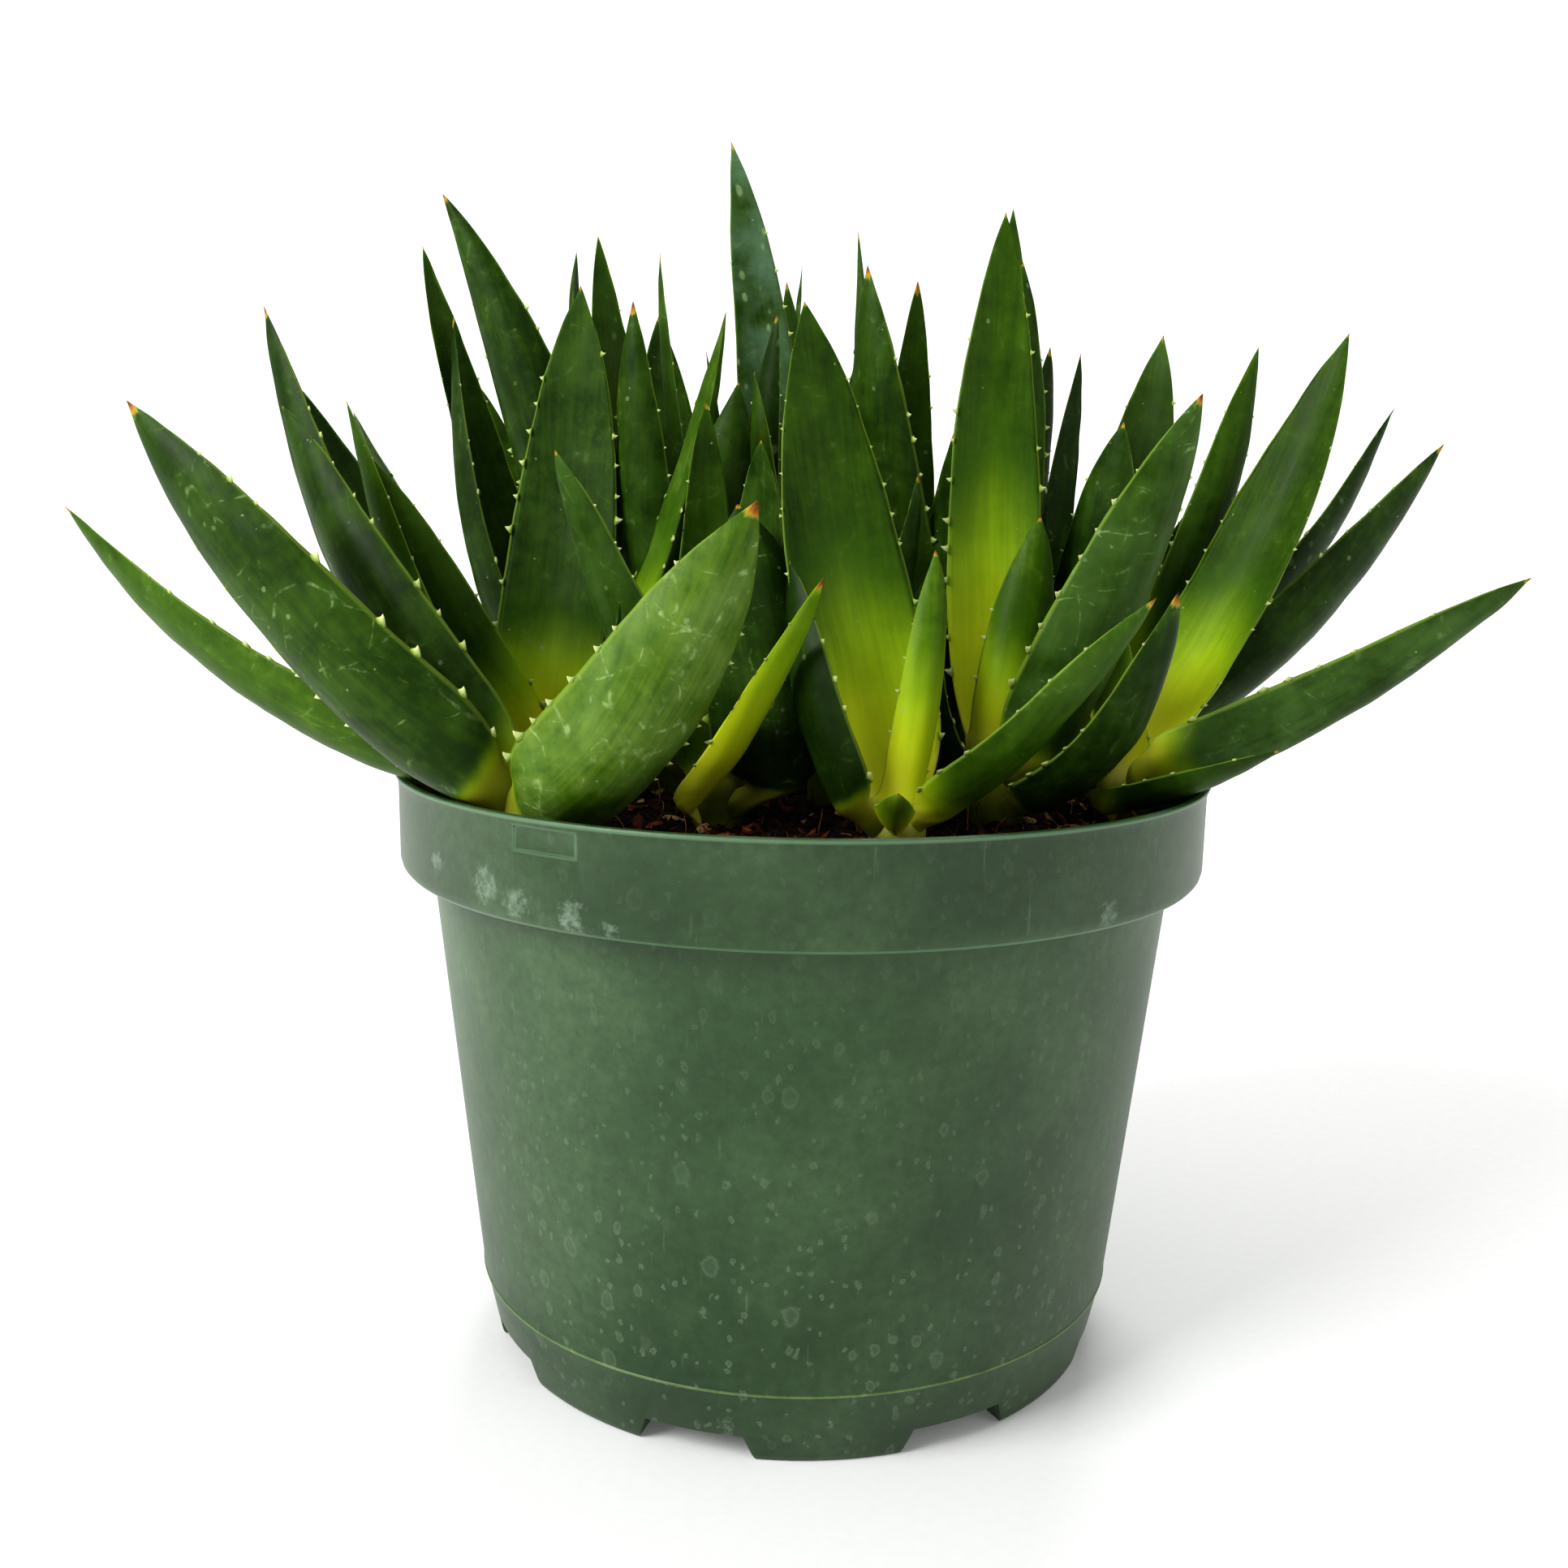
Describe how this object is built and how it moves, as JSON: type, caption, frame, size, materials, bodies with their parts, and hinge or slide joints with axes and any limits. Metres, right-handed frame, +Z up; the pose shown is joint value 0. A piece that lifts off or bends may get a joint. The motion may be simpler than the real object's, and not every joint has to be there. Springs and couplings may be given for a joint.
{
  "type": "potted aloe plant",
  "caption": "Clump of young aloes with toothed fleshy leaves, growing in dark peat in a footed green plastic nursery pot.",
  "frame": {"origin": "on the pot's axis at the height the feet stand on", "axes": "+Z up along the pot's axis, -Y towards the front of the plant, +X towards its right"},
  "size_m": [0.259, 0.1519, 0.224],
  "materials": {
    "pot_green_plastic": "satin",
    "peat": "matte",
    "aloe_heart": "satin",
    "aloe_leaf": "satin"
  },
  "bodies": {
    "root": {"pot": "pot_green_plastic", "soil": "peat", "back_centre_heart": "aloe_heart", "back_centre_leaf_1": "aloe_leaf", "back_centre_leaf_2": "aloe_leaf", "back_centre_leaf_3": "aloe_leaf", "back_left_heart": "aloe_heart", "back_left_leaf_1": "aloe_leaf", "back_left_leaf_2": "aloe_leaf", "back_left_leaf_3": "aloe_leaf", "back_left_leaf_4": "aloe_leaf", "back_right_heart": "aloe_heart", "back_right_leaf_1": "aloe_leaf", "back_right_leaf_2": "aloe_leaf", "back_right_leaf_3": "aloe_leaf", "back_right_leaf_4": "aloe_leaf", "centre_heart": "aloe_heart", "centre_leaf_1": "aloe_leaf", "centre_leaf_2": "aloe_leaf", "centre_leaf_3": "aloe_leaf", "front_heart": "aloe_heart", "front_leaf_1": "aloe_leaf", "front_leaf_2": "aloe_leaf", "front_leaf_3": "aloe_leaf", "front_left_heart": "aloe_heart", "front_left_leaf_1": "aloe_leaf", "front_left_leaf_2": "aloe_leaf", "front_left_leaf_3": "aloe_leaf", "front_right_heart": "aloe_heart", "front_right_leaf_1": "aloe_leaf", "front_right_leaf_2": "aloe_leaf", "front_right_leaf_3": "aloe_leaf", "inner_heart": "aloe_heart", "inner_leaf_1": "aloe_leaf", "inner_leaf_2": "aloe_leaf", "inner_leaf_3": "aloe_leaf", "inner_right_heart": "aloe_heart", "inner_right_leaf_1": "aloe_leaf", "inner_right_leaf_2": "aloe_leaf", "inner_right_leaf_3": "aloe_leaf", "left_heart": "aloe_heart", "left_leaf_1": "aloe_leaf", "left_leaf_2": "aloe_leaf", "left_leaf_3": "aloe_leaf", "left_leaf_4": "aloe_leaf", "middle_heart": "aloe_heart", "middle_leaf_1": "aloe_leaf", "rear_heart": "aloe_heart", "rear_leaf_1": "aloe_leaf", "rear_left_heart": "aloe_heart", "rear_left_leaf_1": "aloe_leaf", "rear_left_leaf_2": "aloe_leaf", "rear_right_heart": "aloe_heart", "rear_right_leaf_1": "aloe_leaf", "rear_right_leaf_2": "aloe_leaf", "rear_right_leaf_3": "aloe_leaf", "right_heart": "aloe_heart", "right_leaf_1": "aloe_leaf", "right_leaf_2": "aloe_leaf", "right_leaf_3": "aloe_leaf"}
  },
  "joints": []
}
